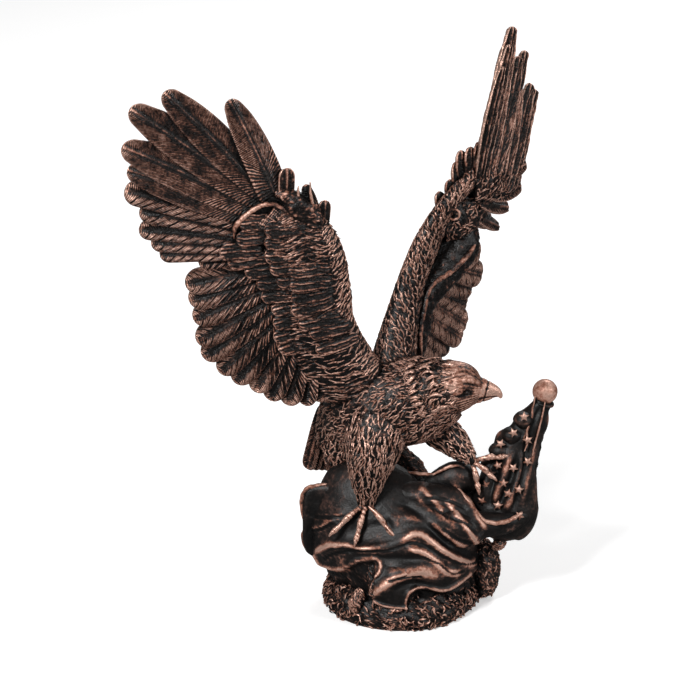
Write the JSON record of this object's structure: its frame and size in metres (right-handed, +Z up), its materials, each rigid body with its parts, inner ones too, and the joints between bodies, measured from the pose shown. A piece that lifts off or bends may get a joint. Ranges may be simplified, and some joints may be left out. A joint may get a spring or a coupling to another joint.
{
  "type": "resin eagle sculpture",
  "caption": "Cast resin eagle with raised wings landing on a draped flag over a rocky round plinth, in dark bronze with copper highlights.",
  "frame": {"origin": "middle of the flat underside of the plinth", "axes": "+Z up, -Y toward the side of the flag that shows its folds, +X toward the eagle's beak and the flag pole"},
  "size_m": [0.2678, 0.1774, 0.3536],
  "materials": {
    "antique_bronze_resin": "dark antique bronze with copper rubbed edges, satin gloss"
  },
  "bodies": {
    "root": {"eagle_sculpture": "antique_bronze_resin"}
  },
  "joints": []
}
